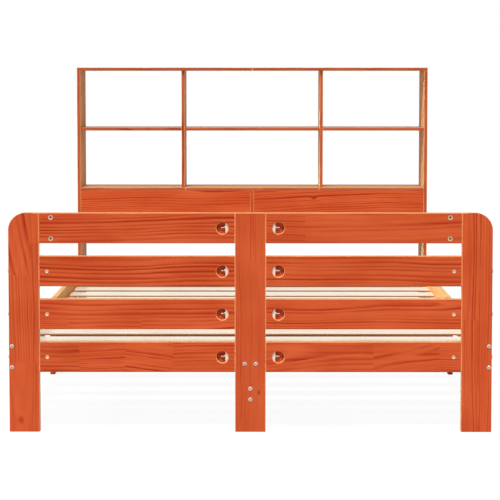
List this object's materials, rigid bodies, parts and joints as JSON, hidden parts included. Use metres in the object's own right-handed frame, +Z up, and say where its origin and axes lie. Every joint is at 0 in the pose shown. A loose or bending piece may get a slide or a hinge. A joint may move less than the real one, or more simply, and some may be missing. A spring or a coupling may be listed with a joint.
{
  "type": "storage headboard bed",
  "caption": "Waxed pine double bed: slatted foot board with rounded corners, slat base, and an open bookcase with shelves as its headboard.",
  "frame": {"origin": "on the floor, under the middle of the bed's whole outline", "axes": "+X across the bed to the right as seen from the foot end, +Y along the bed from the foot board to the bookcase headboard, +Z up"},
  "size_m": [1.4612, 2.2626, 1.116],
  "materials": {
    "waxed_pine": "orange wax-brown stained pine, satin, eased arrises paler",
    "slat_pine": "raw planed pine, pale cream",
    "zinc_steel": "bright zinc-plated steel",
    "beech": "raw fluted beech"
  },
  "bodies": {
    "root": {"apron_back_left": "waxed_pine", "apron_back_right": "waxed_pine", "apron_front_left": "waxed_pine", "apron_front_right": "waxed_pine", "barrel_nuts": "zinc_steel", "bookcase_side_left": "waxed_pine", "bookcase_side_right": "waxed_pine", "cam_locks": "zinc_steel", "cam_pins": "zinc_steel", "centre_beam_front": "waxed_pine", "centre_beam_rear": "waxed_pine", "centre_leg": "waxed_pine", "corner_brackets": "zinc_steel", "crescent_washers": "zinc_steel", "cross_rail_left": "waxed_pine", "cross_rail_right": "waxed_pine", "divider_left": "waxed_pine", "divider_right": "waxed_pine", "edge_bolts": "zinc_steel", "foot_post_centre": "waxed_pine", "foot_post_left": "waxed_pine", "foot_post_right": "waxed_pine", "foot_rail_left_1": "waxed_pine", "foot_rail_left_2": "waxed_pine", "foot_rail_left_3": "waxed_pine", "foot_rail_left_4": "waxed_pine", "foot_rail_right_1": "waxed_pine", "foot_rail_right_2": "waxed_pine", "foot_rail_right_3": "waxed_pine", "foot_rail_right_4": "waxed_pine", "frame_bolts": "zinc_steel", "head_post_back": "waxed_pine", "head_post_front": "waxed_pine", "head_rail_left": "waxed_pine", "head_rail_right": "waxed_pine", "low_shelf_centre": "waxed_pine", "low_shelf_left": "waxed_pine", "low_shelf_right": "waxed_pine", "mid_shelf_centre": "waxed_pine", "mid_shelf_left": "waxed_pine", "mid_shelf_right": "waxed_pine", "middle_leg_left": "waxed_pine", "middle_leg_right": "waxed_pine", "panel_screws": "zinc_steel", "side_rail_left_front": "waxed_pine", "side_rail_left_rear": "waxed_pine", "side_rail_right_front": "waxed_pine", "side_rail_right_rear": "waxed_pine", "slat_ledges": "slat_pine", "slats": "slat_pine", "stretcher_front": "waxed_pine", "stretcher_rear": "waxed_pine", "tie_rod_nuts": "zinc_steel", "tie_rods": "zinc_steel", "top_board_left": "waxed_pine", "top_board_right": "waxed_pine", "wood_screws": "zinc_steel", "wooden_dowels": "beech"}
  },
  "joints": []
}
